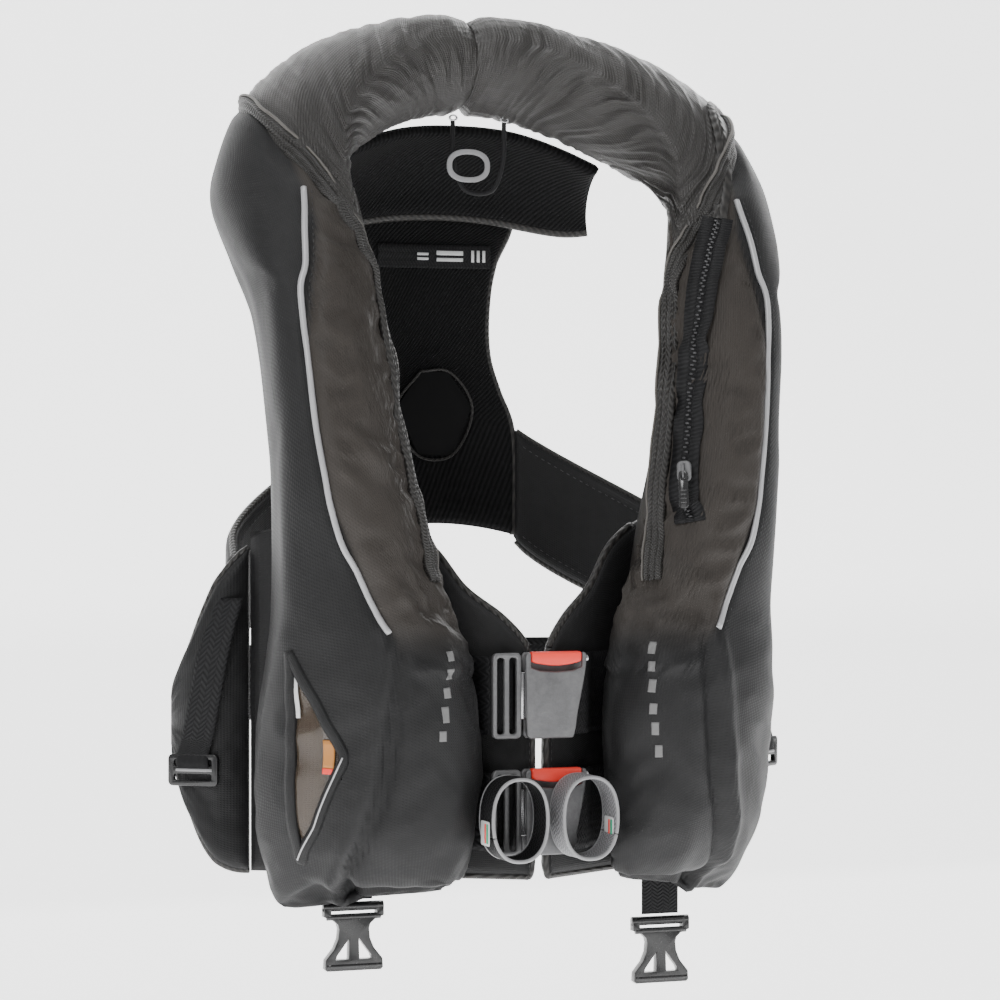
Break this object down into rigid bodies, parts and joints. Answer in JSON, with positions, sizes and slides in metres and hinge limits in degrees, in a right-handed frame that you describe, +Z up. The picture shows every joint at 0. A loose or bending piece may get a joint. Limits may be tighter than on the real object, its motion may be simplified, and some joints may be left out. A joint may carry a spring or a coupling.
{
  "type": "inflatable life jacket",
  "caption": "Inflatable life jacket with a padded collar and two front lobes over a folded bladder, a back harness, twin front buckles, tether loops and crotch-strap buckles.",
  "frame": {"origin": "middle of the neck opening, level with the wearer's shoulders", "axes": "+Z up, -Y the way the wearer faces, +X the wearer's left"},
  "size_m": [0.4206, 0.2533, 0.6298],
  "materials": {
    "cover_fabric": "satin black nylon cover fabric",
    "lobe_fabric": "matt black coated nylon",
    "mesh_pad": "black spacer mesh",
    "webbing": "black polyester webbing",
    "grey_webbing": "grey polyester webbing",
    "steel": "satin stainless steel",
    "black_plastic": "black acetal",
    "red_plastic": "red plastic",
    "orange_plastic": "orange plastic",
    "window_film": "clear film",
    "bladder_fabric": "yellow coated nylon",
    "reflective": "silver reflective piping"
  },
  "bodies": {
    "root": {"right_collar_cover": "cover_fabric", "left_collar_cover": "cover_fabric", "collar_lining": "mesh_pad", "collar_bladder": "bladder_fabric", "nape_pad": "mesh_pad", "back_panel": "lobe_fabric", "label_band": "webbing", "lumbar_mesh_patch": "mesh_pad", "right_side_strap": "lobe_fabric", "left_side_strap": "lobe_fabric", "waist_belt": "webbing", "right_hip_wing": "lobe_fabric", "left_hip_wing": "lobe_fabric", "right_adjuster_strap": "webbing", "left_adjuster_strap": "webbing", "right_adjuster_slider": "black_plastic", "left_adjuster_slider": "black_plastic"},
    "front_right": {"right_lobe_front_cover": "cover_fabric", "right_lobe_back_cover": "lobe_fabric", "right_lobe_bladder": "bladder_fabric", "inflator_window": "window_film", "window_binding": "black_plastic", "inflator_body": "black_plastic", "water_sensor_cap": "orange_plastic", "gas_cylinder": "steel", "right_piping": "reflective", "right_vest_panel": "lobe_fabric", "upper_right_strap": "webbing", "lower_right_strap": "webbing", "upper_slider_frame": "steel", "lower_slider_frame": "steel", "right_crotch_strap": "webbing"},
    "front_left": {"left_lobe_front_cover": "cover_fabric", "left_lobe_back_cover": "lobe_fabric", "left_lobe_bladder": "bladder_fabric", "oral_tube": "black_plastic", "whistle": "orange_plastic", "left_piping": "reflective", "zip_tape": "webbing", "zip_teeth": "steel", "left_vest_panel": "lobe_fabric", "upper_left_strap": "webbing", "lower_left_strap": "webbing", "upper_buckle_plate": "steel", "lower_buckle_plate": "steel", "left_crotch_strap": "webbing"},
    "upper_release": {"upper_release_tab": "red_plastic"},
    "lower_release": {"lower_release_tab": "red_plastic"},
    "right_loop": {"right_tether_loop": "grey_webbing"},
    "left_loop": {"left_tether_loop": "grey_webbing"},
    "right_crotch": {"right_crotch_buckle": "black_plastic"},
    "left_crotch": {"left_crotch_buckle": "black_plastic"},
    "lever": {"firing_lever": "black_plastic", "pull_toggle": "red_plastic"},
    "zip_runner": {"zip_slider": "steel"},
    "zip_tab": {"zip_pull": "black_plastic"},
    "tube_cap": {"oral_tube_cap": "red_plastic"},
    "nape_loop": {"hanging_loop": "webbing", "oval_tag": "reflective"}
  },
  "joints": [
    {"name": "front_right_swing", "type": "hinge", "parent": "root", "child": "front_right", "pos_m": [-0.168, 0.04, -0.22], "axis": [0, 0, -1], "range_deg": [0, 50]},
    {"name": "front_left_swing", "type": "hinge", "parent": "root", "child": "front_left", "pos_m": [0.168, 0.04, -0.22], "axis": [0, 0, 1], "range_deg": [0, 50]},
    {"name": "upper_release_press", "type": "slide", "parent": "front_left", "child": "upper_release", "axis": [0, 0, -1], "range_m": [0, 0.003], "stiffness_N_per_m": 400},
    {"name": "lower_release_press", "type": "slide", "parent": "front_left", "child": "lower_release", "axis": [0, 0, -1], "range_m": [0, 0.003], "stiffness_N_per_m": 400},
    {"name": "right_loop_swing", "type": "hinge", "parent": "front_right", "child": "right_loop", "pos_m": [-0.026, -0.0583, -0.363], "axis": [-1, 0, 0], "range_deg": [0, 45]},
    {"name": "left_loop_swing", "type": "hinge", "parent": "front_left", "child": "left_loop", "pos_m": [0.02, -0.0583, -0.363], "axis": [-1, 0, 0], "range_deg": [0, 45]},
    {"name": "right_crotch_swing", "type": "hinge", "parent": "front_right", "child": "right_crotch", "pos_m": [-0.104, 0.00937, -0.44862], "axis": [1, 0, 0], "range_deg": [-50, 50]},
    {"name": "left_crotch_swing", "type": "hinge", "parent": "front_left", "child": "left_crotch", "pos_m": [0.104, 0.00937, -0.46712], "axis": [1, 0, 0], "range_deg": [-50, 50]},
    {"name": "firing_lever_pull", "type": "hinge", "parent": "front_right", "child": "lever", "pos_m": [-0.11371, -0.04189, -0.26754], "axis": [-0.4969, -0.8674, -0.0277], "range_deg": [0, 50]},
    {"name": "zip_run", "type": "slide", "parent": "front_left", "child": "zip_runner", "axis": [-0.0637, -0.1946, -0.9788], "range_m": [-0.03, 0]},
    {"name": "zip_pull_lift", "type": "hinge", "parent": "zip_runner", "child": "zip_tab", "pos_m": [0.08723, -0.0676, -0.17712], "axis": [-0.8114, 0.5812, -0.0628], "range_deg": [0, 60]},
    {"name": "tube_cap_pull", "type": "slide", "parent": "front_left", "child": "tube_cap", "axis": [0.1057, 0.0355, 0.9938], "range_m": [0, 0.012]},
    {"name": "nape_loop_swing", "type": "hinge", "parent": "root", "child": "nape_loop", "pos_m": [0.01, 0.09521, 0.05431], "axis": [-1, 0, 0], "range_deg": [0, 45]}
  ],
  "couplings": [
    {"joint": "front_left_swing", "follows": "front_right_swing", "ratio": 1}
  ]
}
